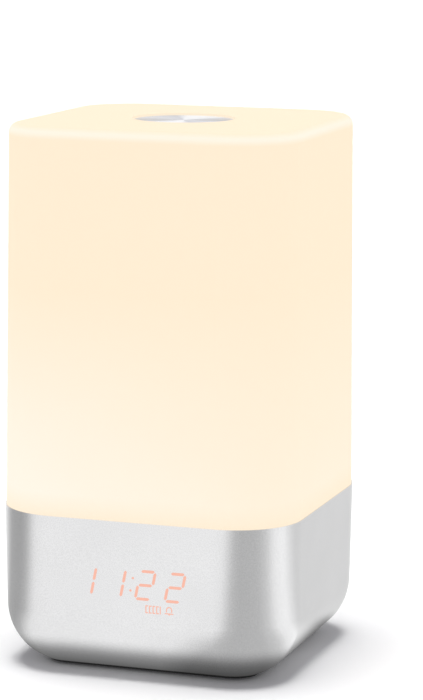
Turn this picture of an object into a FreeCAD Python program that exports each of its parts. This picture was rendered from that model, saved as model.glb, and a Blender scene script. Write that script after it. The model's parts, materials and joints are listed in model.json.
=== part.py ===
import FreeCAD
import Part
import math
import os

# Bedside wake-up light with a clock: an opal shade on an aluminium base. Millimetres, +Z up,
# front towards -Y, origin on the table under the middle of the base.

V = FreeCAD.Vector

# Plan and heights of the outside
base_width = 100.0
corner_radius = 22.5
base_height = 51.0
shade_height = 124.1
base_draft_deg = 0.95
shade_draft_deg = 0.60
base_bottom_radius = 20.0
base_round_cut = 1.5
shade_top_radius = 3.2
shade_step = 0.3
shell_wall = 1.2
shade_wall = 2.2
least_inner_radius = 0.5

# Underside
foot_pad_height = 0.6
cover_flange = 0.9
cover_plug_height = 2.2
shell_floor_width = 17.0
opening_corner_radius = 5.5
cover_gap = 0.2
flange_overlap = 2.8
foot_pad_length = 14.0
foot_pad_width = 5.0
foot_pad_inset = 2.0
foot_pad_y = 13.0
foot_pad_end_share = 0.45

# Shade seat and touch disc
skirt_depth = 4.0
skirt_gap = 0.3
disc_radius = 16.6
disc_thickness = 0.8
disc_sunk = 0.65
disc_side_gap = 0.25
disc_tape_thickness = 0.3
disc_tape_width = 4.0
disc_chamfer = 0.25
shade_boss_radius = 19.5
shade_boss_depth = 2.0
contact_hole_radius = 3.0
spring_radius = 2.0
spring_wire_radius = 0.25
spring_turns = 6
spring_seat_depth = 7.5
post_radius = 4.0
post_foot_radius = 6.5
post_foot_height = 1.5
post_bore_radius = 1.2
post_seat_radius = 2.6
post_end_gap = 0.2
lead_radius = 0.6
lead_pad_height = 0.5
lead_pad_margin = 0.3
shade_lug_radius = 5.6
shade_lug_height = 7.0
shade_screw_bite = 5.0

# Light tray, heat plate and LED board
tray_gap = 0.3
tray_thickness = 2.0
tray_side_gap = 0.5
heat_plate_radius = 30.0
heat_plate_thickness = 1.5
led_board_radius = 28.0
board_thickness = 1.6
white_led_count = 16
white_led_ring = 22.0
colour_led_count = 6
colour_led_ring = 11.5
colour_led_turn_deg = 30.0
led_length = 3.5
led_width = 2.8
led_height = 0.8
led_screw_ring = 16.5
led_screw_count = 3
led_screw_turn_deg = 90.0
led_lead_places = ((-6.0, -17.5), (-3.0, -17.5))
led_lead_radius = 0.7
led_lead_hole_radius = 1.1
led_lead_proud = 0.6

# Inner frame
deck_share = 0.3725
deck_thickness = 2.0
deck_side_gap = 4.0
deck_corner_cut = 6.5
skirt_box_wall = 1.7
lower_post_inset = 5.5
lower_post_radius = 3.0
upper_post_inset = 12.0
upper_post_radius = 4.0
upper_post_bore = 2.4
upper_post_floor = 2.0
upright_width = 5.0
upright_depth = 4.0

# Screws
cover_screw_radius = 1.25
cover_screw_head_radius = 2.7
cover_screw_head_height = 1.7
cover_screw_sink = 2.0
cover_screw_bite = 8.5
small_screw_radius = 1.0
small_screw_head_radius = 1.9
small_screw_head_height = 1.3
small_screw_bite = 3.0
screw_play = 0.05
screw_hole_play = 0.4
screw_head_play = 0.3
screw_end_gap = 0.5
cover_screw_end_gap = 2.0
head_round_share = 0.4
cross_reach_share = 0.6
cross_width_share = 0.28

# Main board
main_board_side_gap = 19.0
main_board_end_gap = 17.0
main_board_rise = 3.0
main_board_corner = 2.0
board_boss_radius = 2.5
board_boss_inset = 3.0
jack_tab_width = 14.0
jack_tab_reach = 10.0
wire_hole_radius = 3.0
wire_hole_x = -10.0
wire_hole_inset = 6.0
wire_notch_width = 6.0
wire_notch_depth = 8.5

# Parts on the main board: their place as a share of the board's width and depth, then their size
board_blocks = (
    (-0.26, -0.14, 10.0, 10.0, 1.6),
    (0.19, -0.30, 8.0, 6.0, 1.6),
    (0.31, 0.18, 6.0, 6.0, 3.2),
    (-0.32, 0.09, 5.0, 4.0, 1.5),
    (0.10, 0.21, 5.0, 4.0, 1.5),
)
board_cans = (
    (0.355, -0.09, 4.0, 11.0),
    (0.20, 0.05, 3.2, 8.0),
    (-0.35, -0.32, 3.2, 8.0),
)
can_rim_radius = 0.5
plug_length = 8.0
plug_depth = 5.0
plug_height = 6.0
speaker_plug_reach_x = 8.5
speaker_plug_reach_y = 8.0

# Time display
digit_pitch = 10.0
digit_width = 5.0
digit_height = 9.1
digit_slant_deg = 11.5
digit_drop = 20.05
segment_thickness = 0.95
segment_gap = 0.22
colon_offset = 0.4
colon_half_height = 2.05
colon_dot = 0.8
icon_drop = 27.8
icon_line = 0.36
icon_gap = 0.28
sound_icon_x = 7.6
sound_icon_width = 5.2
sound_icon_height = 2.6
sound_icon_cells = 4
alarm_icon_x = 13.0
alarm_icon_width = 2.9
alarm_icon_height = 2.8
alarm_arch_radius = 1.05
alarm_clapper_radius = 0.34
module_width = 42.0
module_height = 17.6
module_drop = 1.2
module_depth = 7.1
module_gap = 0.35
display_board_margin = 6.0
display_board_height = 20.0
display_post_drop = 1.0
display_screw_drop = 4.0
lit_digits = ("1", "1", "2", "2")

# Flat cables
ribbon_thickness = 0.5
ribbon_plug_depth = 2.5
ribbon_plug_height = 4.0
ribbon_plug_rise = 2.0
ribbon_side_margin = 1.0
ribbon_hump = 3.6
ribbon_run = 4.5
ribbon_fall_share = 0.8
display_ribbon_x = -2.0
display_ribbon_width = 12.0
display_socket_inset = 3.0
key_ribbon_x = 2.0
key_ribbon_width = 4.0
key_socket_inset = 5.5
socket_height = 3.0
socket_depth = 3.0

# Rear panel and keys
panel_width = 52.0
panel_height = 21.0
panel_corner = 4.0
panel_top_gap = 1.7
panel_recess = 1.0
panel_thickness = 1.8
panel_gap = 0.15
panel_flange = 1.5
key_names = ("time", "alarm", "light", "sound", "minus", "plus")
key_columns = 3
key_pitch_x = 10.0
key_pitch_z = 9.6
key_first_x = -19.0
key_radius = 3.4
key_side_gap = 0.3
key_proud = 0.8
key_rim_radius = 0.4
key_travel = 0.5
key_flange_extra = 0.9
key_flange_thickness = 1.0
key_flange_gap = 0.3
key_stem_radius = 1.6
key_stem_length = 1.9
plunger_radius = 1.7
plunger_length = 2.0
plunger_side_gap = 0.3
switch_size = 6.0
switch_depth = 3.5
switch_bottom_gap = 0.3
key_board_margin = 4.0

# Power inlet
jack_x = 17.0
jack_width = 9.0
jack_height = 11.0
jack_length = 12.0
jack_nose_radius = 4.0
jack_nose_length = 1.6
jack_bore_radius = 2.85
jack_bore_depth = 9.5
jack_pin_radius = 1.0
jack_pin_length = 8.5
jack_tip_radius = 0.4
inlet_radius = 5.5
inlet_depth = 3.5
inlet_wall = 1.2
inlet_floor = 1.0
nose_gap = 0.2

# Speaker
speaker_x = -10.0
speaker_y = 10.0
speaker_radius = 14.0
speaker_depth = 11.0
speaker_rim = 1.2
speaker_land = 2.0
speaker_frame_wall = 0.8
speaker_hub_radius = 3.0
cone_thickness = 0.4
cone_rim_inset = 2.2
cone_rise = 0.5
cone_top_gap = 1.2
cone_cap_radius = 2.6
cone_cap_height = 2.2
cone_neck_step = 0.6
cone_surround = 1.6
bend_share = 0.45
speaker_gasket_thickness = 1.0
magnet_radius = 8.5
magnet_height = 4.5
speaker_lead_radius = 0.45
speaker_lead_pitch = 1.8
slot_end_share = 0.49
sound_slot_count = 7
sound_slot_width = 1.4
sound_slot_pitch = 3.0
sound_field_radius = 11.0

# Clock backup cell
cell_x = 10.5
cell_y = -10.5
cell_radius = 10.0
cell_height = 3.2
cell_play = 0.3
door_radius = 12.4
door_side_gap = 0.3
door_face = 1.2
door_neck_radius = 10.7
door_lug_height = 1.0
door_lug_play = 0.3
door_lug_deg = 36.0
door_turn_deg = 60.0
notch_play_deg = 3.0
door_slot_width = 2.0
door_slot_length = 14.0
door_slot_depth = 0.7
holder_wall = 1.4
holder_side_gap = 0.3
contact_leaf_height = 1.1
contact_leaf_thickness = 0.25
contact_hole_edge = 1.0
contact_land = 1.0
contact_dish_radius = 6.2

# How far a cutting shape reaches past what it cuts
over = 1.0

# Places that follow from the sizes above
base_opening = base_width - 2 * shell_floor_width
skirt_box_width = base_opening + 2 * skirt_box_wall
deck_width = base_width - 2 * deck_side_gap
deck_corner = corner_radius - deck_corner_cut
lower_post_pitch = base_opening - 2 * lower_post_inset
upper_post_pitch = base_width - 2 * upper_post_inset
main_board_width = base_width - 2 * main_board_side_gap
main_board_depth = base_width - 2 * main_board_end_gap
board_boss_x = main_board_width / 2 - board_boss_inset
board_boss_y = main_board_depth / 2 - board_boss_inset
wire_hole_y = main_board_depth / 2 - wire_hole_inset
display_socket_y = display_socket_inset - main_board_depth / 2
key_socket_y = main_board_depth / 2 - key_socket_inset
panel_face_y = base_width / 2 - panel_recess
shell_bottom_z = foot_pad_height + cover_flange
split_z = shell_bottom_z + base_height
top_z = split_z + shade_height
corner_centre = base_width / 2 - corner_radius
shell_floor_z = shell_bottom_z + shell_wall
cover_top_z = shell_bottom_z + cover_plug_height
tray_top_z = split_z - skirt_depth - tray_gap
tray_bottom_z = tray_top_z - tray_thickness
heat_top_z = tray_top_z + heat_plate_thickness
led_board_top_z = heat_top_z + board_thickness
display_board_width = module_width + 2 * display_board_margin
deck_z = deck_share * base_height
digit_mid_z = split_z - digit_drop
panel_mid_z = tray_bottom_z - panel_top_gap - panel_height / 2
deck_top_z = deck_z + deck_thickness
board_bottom_z = deck_top_z + main_board_rise
board_top_z = board_bottom_z + board_thickness
disc_top_z = top_z - disc_sunk
disc_bottom_z = disc_top_z - disc_thickness
recess_floor_z = disc_bottom_z - disc_tape_thickness
roof_under_z = top_z - shade_wall - shade_boss_depth
door_top_z = cover_top_z + door_lug_play + door_lug_height
cell_low_z = door_top_z + cell_play
cell_high_z = cell_low_z + cell_height
holder_roof_z = cell_high_z + contact_leaf_height
gasket_top_z = cover_top_z + speaker_gasket_thickness
speaker_top_z = gasket_top_z + speaker_depth
magnet_low_z = speaker_top_z - magnet_height
panel_back_y = panel_face_y - panel_thickness
key_front_y = panel_face_y + key_proud
key_flange_y = panel_back_y - key_flange_gap
key_flange_back_y = key_flange_y - key_flange_thickness
stem_end_y = key_flange_back_y - key_stem_length
plunger_end_y = stem_end_y - plunger_length
switch_front_y = stem_end_y - key_travel - switch_bottom_gap
pocket_floor_y = plunger_end_y - key_travel - switch_bottom_gap
switch_back_y = switch_front_y - switch_depth
key_board_back_y = switch_back_y - board_thickness
module_low_z = digit_mid_z - module_height / 2 - module_drop
jack_z = board_top_z + jack_height / 2
nose_front_y = panel_face_y - inlet_depth
jack_front_y = nose_front_y - jack_nose_length
base_lean = math.tan(math.radians(base_draft_deg))
digit_lean = math.tan(math.radians(digit_slant_deg))


def wall_y(z, inset=0.0):
    return base_width / 2 - (split_z - z) * base_lean - inset


def module_front_y():
    return -wall_y(module_low_z, shell_wall + module_gap)


display_board_front_y = module_front_y() + module_depth
display_board_back_y = display_board_front_y + board_thickness


def place(shape, x=0.0, y=0.0, z=0.0):
    moved = shape.copy()
    moved.translate(V(x, y, z))
    return moved


def rounded_plate(width, depth, radius, z_low, z_high):
    half_x = width / 2 - radius
    half_y = depth / 2 - radius
    edges = []
    corners = [(half_x, half_y, 0), (-half_x, half_y, 90), (-half_x, -half_y, 180), (half_x, -half_y, 270)]
    for index, (x, y, start) in enumerate(corners):
        arc = Part.makeCircle(radius, V(x, y, z_low), V(0, 0, 1), start, start + 90)
        edges.append(arc)
    outline = []
    for index, arc in enumerate(edges):
        following = edges[(index + 1) % 4]
        outline.append(arc)
        outline.append(Part.makeLine(arc.Vertexes[-1].Point, following.Vertexes[0].Point))
    wire = Part.Wire(outline)
    return Part.Face(wire).extrude(V(0, 0, z_high - z_low))


def tower(profile):
    """Solid with a rounded square plan: the profile turned at each corner and drawn along each side."""
    solid = None
    corner = Part.Face(profile(0.0)).revolve(V(0, 0, 0), V(0, 0, 1), 360)
    half = Part.Face(profile(corner_centre))
    run = half.extrude(V(0, 2 * corner_centre, 0))
    run.translate(V(0, -corner_centre, 0))
    for turn in range(4):
        side = run.copy()
        side.rotate(V(0, 0, 0), V(0, 0, 1), 90 * turn)
        post = place(corner, corner_centre, corner_centre)
        post.rotate(V(0, 0, 0), V(0, 0, 1), 90 * turn)
        solid = side if solid is None else solid.fuse(side)
        solid = solid.fuse(post)
    return solid.removeSplitter()


def cup_profile(outer_u, lean_deg, radius, z_low, z_high):
    """Profile round at its bottom edge, leaning out as it rises; outer_u is its reach at z_high."""
    lean = math.radians(lean_deg)
    centre_z = z_low + radius
    centre_u = outer_u - radius * math.cos(lean)
    centre_u -= (z_high - centre_z + radius * math.sin(lean)) * math.tan(lean)

    def wire(shift):
        def point(u, z):
            return V(u + shift, 0, z)

        middle = math.radians(45 + lean_deg / 2)
        tangent = point(centre_u + radius * math.cos(lean), centre_z - radius * math.sin(lean))
        arc_mid = point(centre_u + radius * math.cos(middle), centre_z - radius * math.sin(middle))
        low = point(centre_u, z_low)
        high = point(outer_u, z_high)
        edges = [Part.makeLine(V(0, 0, z_low), low)]
        edges.append(Part.Arc(low, arc_mid, tangent).toShape())
        edges.append(Part.makeLine(tangent, high))
        edges.append(Part.makeLine(high, V(0, 0, z_high)))
        edges.append(Part.makeLine(V(0, 0, z_high), V(0, 0, z_low)))
        return Part.Wire(edges)

    return wire


def cap_profile(outer_u, lean_deg, radius, z_low, z_high):
    """Profile round at its top edge, leaning in as it rises; outer_u is its reach at z_low."""
    lean = math.radians(lean_deg)
    centre_z = z_high - radius
    centre_u = outer_u - radius * math.cos(lean)
    centre_u -= (centre_z - z_low + radius * math.sin(lean)) * math.tan(lean)

    def wire(shift):
        def point(u, z):
            return V(u + shift, 0, z)

        middle = math.radians(45 + lean_deg / 2)
        tangent = point(centre_u + radius * math.cos(lean), centre_z + radius * math.sin(lean))
        arc_mid = point(centre_u + radius * math.cos(middle), centre_z + radius * math.sin(middle))
        high = point(centre_u, z_high)
        low = point(outer_u, z_low)
        edges = [Part.makeLine(V(0, 0, z_low), low)]
        edges.append(Part.makeLine(low, tangent))
        edges.append(Part.Arc(tangent, arc_mid, high).toShape())
        edges.append(Part.makeLine(high, V(0, 0, z_high)))
        edges.append(Part.makeLine(V(0, 0, z_high), V(0, 0, z_low)))
        return Part.Wire(edges)

    return wire


def straight_profile(outer_u, z_low, z_high):
    def wire(shift):
        reach = outer_u + shift
        points = [V(0, 0, z_low), V(reach, 0, z_low), V(reach, 0, z_high), V(0, 0, z_high)]
        return Part.makePolygon(points + [points[0]])

    return wire


def disc(radius, z_low, z_high, x=0.0, y=0.0):
    return Part.makeCylinder(radius, z_high - z_low, V(x, y, z_low))


def ring(outer, inner, z_low, z_high, x=0.0, y=0.0):
    return disc(outer, z_low, z_high, x, y).cut(disc(inner, z_low - over, z_high + over, x, y))


def rod_y(radius, x, z, y_low, y_high):
    return Part.makeCylinder(radius, y_high - y_low, V(x, y_low, z), V(0, 1, 0))


def block(x_low, x_high, y_low, y_high, z_low, z_high):
    return Part.makeBox(x_high - x_low, y_high - y_low, z_high - z_low, V(x_low, y_low, z_low))


def spun(points, x=0.0, y=0.0):
    outline = Part.makePolygon([V(r, 0, z) for r, z in points] + [V(points[0][0], 0, points[0][1])])
    return place(Part.Face(outline).revolve(V(0, 0, 0), V(0, 0, 1), 360), x, y)


def corner_places(pitch):
    half = pitch / 2
    return [(half, half), (-half, half), (-half, -half), (half, -half)]


def fuse_all(shapes):
    whole = shapes[0]
    for shape in shapes[1:]:
        whole = whole.fuse(shape)
    return whole.removeSplitter()


def cut_all(shape, tools):
    for tool in tools:
        shape = shape.cut(tool)
    return shape


def tube(points, radius):
    """Round wire along straight runs joined by tangent arcs as large as the runs allow."""
    route = [V(*p) for p in points]
    edges = []
    start = route[0]
    for before, corner, after in zip(route, route[1:], route[2:]):
        run_in = corner.sub(before)
        run_out = after.sub(corner)
        reach = bend_share * min(run_in.Length, run_out.Length)
        into = corner.sub(V(run_in).normalize().multiply(reach))
        out = corner.add(V(run_out).normalize().multiply(reach))
        half_turn = run_in.getAngle(run_out) / 2
        bend = reach / math.tan(half_turn)
        inward = into.add(out).multiply(0.5).sub(corner).normalize()
        centre_far = bend / math.cos(half_turn)
        middle = corner.add(inward.multiply(centre_far - bend))
        edges.append(Part.LineSegment(start, into).toShape())
        edges.append(Part.Arc(into, middle, out).toShape())
        start = out
    edges.append(Part.LineSegment(start, route[-1]).toShape())
    path = Part.Wire(edges)
    section = Part.Wire(Part.makeCircle(radius, route[0], route[1].sub(route[0])))
    return path.makePipeShell([section], True, False)


def machine_screw(radius, length, head_radius, head_height, cross_depth=0.6):
    """Pan-head screw pointing down -Z from the origin, with a cross recess in its head."""
    shank = Part.makeCylinder(radius, length, V(0, 0, -length))
    head = Part.makeCylinder(head_radius, head_height)
    rim = [edge for edge in head.Edges if abs(edge.BoundBox.ZMin - head_height) < 1e-6]
    head = head.makeFillet(head_height * head_round_share, rim)
    arm = head_radius * cross_reach_share
    slot = head_radius * cross_width_share / 2
    cross = block(-arm, arm, -slot, slot, head_height - cross_depth, head_height + over)
    cross = cross.fuse(block(-slot, slot, -arm, arm, head_height - cross_depth, head_height + over))
    return shank.fuse(head.cut(cross)).removeSplitter()


def shell_body(inset):
    """Outside of the base, or its hollow when inset by the wall, with a round bottom edge cut flat."""
    round_z = shell_bottom_z - base_round_cut + inset
    reach = corner_radius - inset
    body = tower(cup_profile(reach, base_draft_deg, base_bottom_radius - inset, round_z, split_z))
    below = block(-base_width, base_width, -base_width, base_width, round_z - over, shell_bottom_z + inset)
    return body.cut(below)


def segment_shape(x, z, length, upright):
    """Six-sided light bar seen from the front, drawn through the front wall."""
    half = length / 2
    thick = segment_thickness / 2
    outline = [(-half, 0), (-half + thick, thick), (half - thick, thick)]
    outline += [(half, 0), (half - thick, -thick), (-half + thick, -thick)]
    if upright:
        outline = [(b, a) for a, b in outline]
    points = []
    for along, across in outline:
        point_z = z + across
        lean = (point_z - digit_mid_z) * digit_lean
        points.append(V(x + along + lean, -base_width / 2 - over, point_z))
    wire = Part.makePolygon(points + [points[0]])
    return Part.Face(wire).extrude(V(0, over + base_width / 2 + module_front_y(), 0))


def digit_segments(centre_x):
    """The seven bars of one digit by their usual letters."""
    middle = digit_mid_z
    across = digit_width / 2
    half = digit_height / 2
    level = digit_width - 2 * segment_gap
    rise = half - 2 * segment_gap
    return {
        "a": segment_shape(centre_x, middle + half, level, False),
        "b": segment_shape(centre_x + across, middle + half / 2, rise, True),
        "c": segment_shape(centre_x + across, middle - half / 2, rise, True),
        "d": segment_shape(centre_x, middle - half, level, False),
        "e": segment_shape(centre_x - across, middle - half / 2, rise, True),
        "f": segment_shape(centre_x - across, middle + half / 2, rise, True),
        "g": segment_shape(centre_x, middle, level, False),
    }


lit_letters = {
    "0": "abcdef",
    "1": "bc",
    "2": "abged",
    "3": "abgcd",
    "4": "fgbc",
    "5": "afgcd",
    "6": "afgedc",
    "7": "abc",
    "8": "abcdefg",
    "9": "abcdfg",
}


def through_front(face):
    return face.extrude(V(0, over + base_width / 2 + module_front_y(), 0))


def front_circle(x, z, radius):
    circle = Part.makeCircle(radius, V(x, -base_width / 2 - over, z), V(0, 1, 0))
    return Part.Face(Part.Wire(circle))


def front_block(x_low, x_high, z_low, z_high):
    front = -base_width / 2 - over
    return block(x_low, x_high, front, module_front_y(), z_low, z_high)


def sound_icon():
    """Ribbed meter box: open brackets in a row and a closing bar."""
    z = split_z - icon_drop
    half_z = sound_icon_height / 2
    step = (sound_icon_width - icon_line) / sound_icon_cells
    ribs = []
    for index in range(sound_icon_cells + 1):
        x = sound_icon_x - sound_icon_width / 2 + index * step
        rib = front_block(x, x + icon_line, z - half_z, z + half_z)
        if index < sound_icon_cells:
            reach = x + step - icon_gap
            upper = front_block(x, reach, z + half_z - icon_line, z + half_z)
            lower = front_block(x, reach, z - half_z, z - half_z + icon_line)
            rib = fuse_all([rib, upper, lower])
        ribs.append(rib)
    return ribs


def arch_shape(x, centre_z, low_z, radius):
    """Half-round top on straight legs, drawn through the front wall."""
    arch = through_front(front_circle(x, centre_z, radius))
    legs = front_block(x - radius, x + radius, low_z, centre_z)
    below = front_block(x - radius, x + radius, centre_z - 2 * radius, low_z)
    return arch.fuse(legs).cut(below)


def alarm_icon():
    """Outline bell: an open arch over a rim bar, with its clapper under the bar."""
    x = alarm_icon_x
    z = split_z - icon_drop
    rim_low = z - alarm_icon_height / 2 + alarm_clapper_radius
    rim_high = rim_low + icon_line
    arch_low = rim_high + icon_gap
    centre_z = z + alarm_icon_height / 2 - alarm_arch_radius
    arch = arch_shape(x, centre_z, arch_low, alarm_arch_radius)
    arch = arch.cut(arch_shape(x, centre_z, arch_low, alarm_arch_radius - icon_line))
    half = alarm_icon_width / 2
    rim = front_block(x - half, x + half, rim_low, rim_high)
    clapper = through_front(front_circle(x, rim_low, alarm_clapper_radius))
    return [arch.removeSplitter(), fuse_all([rim, clapper])]


def display_lights():
    """Lit and dark light bars of the time display."""
    lit = []
    dark = []
    for place_index, digit in enumerate(lit_digits):
        centre_x = (place_index - 1.5) * digit_pitch
        for letter, bar in digit_segments(centre_x).items():
            chosen = lit if letter in lit_letters[digit] else dark
            chosen.append(bar)
    middle = digit_mid_z
    for side in (-1, 1):
        x = colon_offset + side * colon_half_height * digit_lean
        z = middle + side * colon_half_height
        lit.append(through_front(front_circle(x, z, colon_dot / 2)))
    lit += sound_icon()
    lit += alarm_icon()
    return lit, dark


def key_places():
    places = []
    for index, name in enumerate(key_names):
        column = index % key_columns
        row = index // key_columns
        x = key_first_x + column * key_pitch_x
        z = panel_mid_z + (0.5 - row) * key_pitch_z
        places.append((name, x, z))
    return places


def panel_block(extra):
    width = panel_width + 2 * extra
    height = panel_height + 2 * extra
    plate = rounded_plate(width, height, panel_corner + extra, 0, base_width)
    plate.rotate(V(0, 0, 0), V(1, 0, 0), -90)
    return place(plate, 0, 0, panel_mid_z)


def make_base_shell(outer, hollow, lights):
    lip = tower(straight_profile(corner_radius - shell_wall, split_z, split_z + over))
    shell = outer.cut(hollow).cut(lip)
    opening = rounded_plate(base_opening, base_opening, opening_corner_radius, 0, cover_top_z)
    shell = shell.cut(opening)
    shell = shell.cut(panel_block(panel_gap))
    for bar in lights:
        shell = shell.cut(bar)
    return shell


def make_shade():
    outer_u = corner_radius - shade_step
    outer = tower(cap_profile(outer_u, shade_draft_deg, shade_top_radius, split_z, top_z))
    inner_u = outer_u - shade_wall
    round_inside = max(shade_top_radius - shade_wall, least_inner_radius)
    roof_z = top_z - shade_wall
    inner = tower(cap_profile(inner_u, shade_draft_deg, round_inside, split_z, roof_z))
    skirt_u = corner_radius - shell_wall - skirt_gap
    skirt = tower(straight_profile(skirt_u, split_z - skirt_depth, split_z))
    bore = tower(straight_profile(inner_u, split_z - skirt_depth - over, split_z))
    shade = outer.fuse(skirt).cut(inner).cut(bore)
    shade = shade.fuse(disc(shade_boss_radius, roof_under_z, roof_z))
    for x, y in corner_places(upper_post_pitch):
        shade = shade.fuse(disc(shade_lug_radius, tray_top_z, tray_top_z + shade_lug_height, x, y))
        hole_top = tray_top_z + shade_screw_bite + screw_end_gap
        shade = shade.cut(disc(small_screw_radius + screw_play, tray_top_z - over, hole_top, x, y))
    shade = shade.cut(disc(disc_radius + disc_side_gap, recess_floor_z, top_z + over))
    shade = shade.cut(disc(contact_hole_radius, roof_under_z - over, top_z))
    return shade.removeSplitter()


def make_touch_disc():
    plate = disc(disc_radius, disc_bottom_z, disc_top_z)
    rim = [edge for edge in plate.Edges if edge.BoundBox.ZMin > disc_top_z - 1e-6]
    return plate.makeChamfer(disc_chamfer, rim)


def make_touch_spring():
    """Coil from the lead's pad up to the disc, as quarter-turn arcs on one helix."""
    radius = spring_radius - spring_wire_radius
    low = top_z - spring_seat_depth + lead_pad_height + spring_wire_radius
    high = disc_bottom_z - spring_wire_radius
    rise = (high - low) / spring_turns
    quarters = spring_turns * 4

    def on_coil(turn):
        angle = 2 * math.pi * turn
        return V(radius * math.cos(angle), radius * math.sin(angle), low + rise * turn)

    edges = []
    for quarter in range(quarters):
        start = quarter / 4
        edges.append(Part.Arc(on_coil(start), on_coil(start + 0.125), on_coil(start + 0.25)).toShape())
    path = Part.Wire(edges)
    slope = on_coil(0.01).sub(on_coil(0))
    section = Part.Wire(Part.makeCircle(spring_wire_radius, on_coil(0), slope))
    return path.makePipeShell([section], True, False)


def make_touch_post():
    seat_z = top_z - spring_seat_depth
    post_top_z = roof_under_z - post_end_gap
    points = [(post_bore_radius, led_board_top_z), (post_foot_radius, led_board_top_z)]
    points += [(post_foot_radius, led_board_top_z + post_foot_height)]
    points += [(post_radius, led_board_top_z + post_foot_height + post_foot_radius - post_radius)]
    points += [(post_radius, post_top_z), (post_seat_radius, post_top_z)]
    points += [(post_seat_radius, seat_z), (post_bore_radius, seat_z)]
    return spun(points)


def make_touch_lead():
    seat_z = top_z - spring_seat_depth
    wire = disc(lead_radius, board_top_z, seat_z)
    pad = disc(spring_radius + lead_pad_margin, seat_z, seat_z + lead_pad_height)
    return wire.fuse(pad).removeSplitter()


def make_light_tray():
    reach = wall_y(tray_bottom_z, shell_wall + tray_side_gap)
    plate = rounded_plate(2 * reach, 2 * reach, corner_radius - shell_wall, tray_bottom_z, tray_top_z)
    holes = [disc(small_screw_radius + screw_hole_play, tray_bottom_z - over, tray_top_z + over, x, y)
             for x, y in corner_places(upper_post_pitch)]
    holes.append(disc(post_bore_radius, tray_bottom_z - over, tray_top_z + over))
    holes += led_lead_holes(tray_bottom_z - over, tray_top_z + over)
    holes += [disc(small_screw_radius + screw_play, tray_bottom_z - over, tray_top_z + over, x, y)
              for x, y in led_screw_places()]
    return cut_all(plate, holes)


def led_screw_places():
    turns = [math.radians(led_screw_turn_deg + i * 360 / led_screw_count) for i in range(led_screw_count)]
    return [(led_screw_ring * math.cos(turn), led_screw_ring * math.sin(turn)) for turn in turns]


def led_lead_holes(z_low, z_high):
    return [disc(led_lead_hole_radius, z_low, z_high, x, y) for x, y in led_lead_places]


def make_round_board(radius, z_low, z_high):
    plate = disc(radius, z_low, z_high)
    holes = [disc(small_screw_radius + screw_hole_play, z_low - over, z_high + over, x, y)
             for x, y in led_screw_places()]
    holes.append(disc(post_bore_radius, z_low - over, z_high + over))
    return cut_all(plate, holes + led_lead_holes(z_low - over, z_high + over))


def ring_of_leds(count, radius, offset_deg=0.0):
    chips = []
    for index in range(count):
        turn = offset_deg + index * 360 / count
        chip = block(-led_length / 2, led_length / 2, -led_width / 2, led_width / 2,
                     led_board_top_z, led_board_top_z + led_height)
        chip = place(chip, radius, 0, 0)
        chip.rotate(V(0, 0, 0), V(0, 0, 1), turn)
        chips.append(chip)
    return chips


def screws_down(places, z, radius, length, head_radius, head_height):
    screw = machine_screw(radius, length, head_radius, head_height)
    return [place(screw, x, y, z) for x, y in places]


def upright_places_front():
    x = display_board_width / 2 - upright_width / 2
    return [-x, x]


def key_screw_places():
    x_first = key_first_x + key_pitch_x / 2
    return [(x_first, panel_mid_z), (x_first + key_pitch_x, panel_mid_z)]


def board_boss_places():
    return [(sx * board_boss_x, sy * board_boss_y) for sx in (-1, 1) for sy in (-1, 1)]


def make_inner_frame():
    deck = rounded_plate(deck_width, deck_width, deck_corner, deck_z, deck_top_z)
    box_radius = opening_corner_radius + skirt_box_wall
    box_outer = rounded_plate(skirt_box_width, skirt_box_width, box_radius, shell_floor_z, deck_z)
    box_inner = rounded_plate(base_opening, base_opening, opening_corner_radius,
                              shell_floor_z - over, deck_z)
    pieces = [deck, box_outer.cut(box_inner)]
    pieces += [disc(lower_post_radius, cover_top_z, deck_z, x, y)
               for x, y in corner_places(lower_post_pitch)]
    pieces += [disc(upper_post_radius, deck_top_z, tray_bottom_z, x, y)
               for x, y in corner_places(upper_post_pitch)]
    pieces += [disc(board_boss_radius, deck_top_z, board_bottom_z, x, y) for x, y in board_boss_places()]
    front_top = deck_top_z + display_board_height - display_post_drop
    for x in upright_places_front():
        pieces.append(block(x - upright_width / 2, x + upright_width / 2, display_board_back_y,
                            display_board_back_y + upright_depth, deck_top_z, front_top))
    for x, z in key_screw_places():
        pieces.append(block(x - upright_width / 2, x + upright_width / 2, key_board_back_y - upright_depth,
                            key_board_back_y, deck_top_z, z + upright_width / 2))
    frame = fuse_all(pieces)
    holes = []
    for x, y in corner_places(lower_post_pitch):
        top = cover_top_z + cover_screw_bite + cover_screw_end_gap
        holes.append(disc(cover_screw_radius + screw_play, cover_top_z - over, top, x, y))
    for x, y in corner_places(upper_post_pitch):
        holes.append(disc(upper_post_bore, deck_z - over, tray_bottom_z - upper_post_floor, x, y))
        holes.append(disc(small_screw_radius + screw_hole_play, deck_z, tray_bottom_z + over, x, y))
    for x, y in board_boss_places():
        low = board_bottom_z - small_screw_bite - screw_end_gap
        holes.append(disc(small_screw_radius + screw_play, low, board_bottom_z + over, x, y))
    for x in upright_places_front():
        holes.append(rod_y(small_screw_radius + screw_play, x, display_screw_z(),
                           display_board_back_y - over,
                           display_board_back_y + small_screw_bite + screw_end_gap))
    for x, z in key_screw_places():
        holes.append(rod_y(small_screw_radius + screw_play, x, z,
                           key_board_back_y - small_screw_bite - screw_end_gap,
                           key_board_back_y + over))
    holes.append(disc(wire_hole_radius, deck_z - over, deck_top_z + over, wire_hole_x, wire_hole_y))
    notch_half = module_width / 2 + module_gap
    holes.append(block(-notch_half, notch_half, -base_width, display_board_front_y,
                       deck_z - over, deck_top_z + over))
    return cut_all(frame, holes)


def display_screw_z():
    return deck_top_z + display_board_height - display_screw_drop


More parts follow.
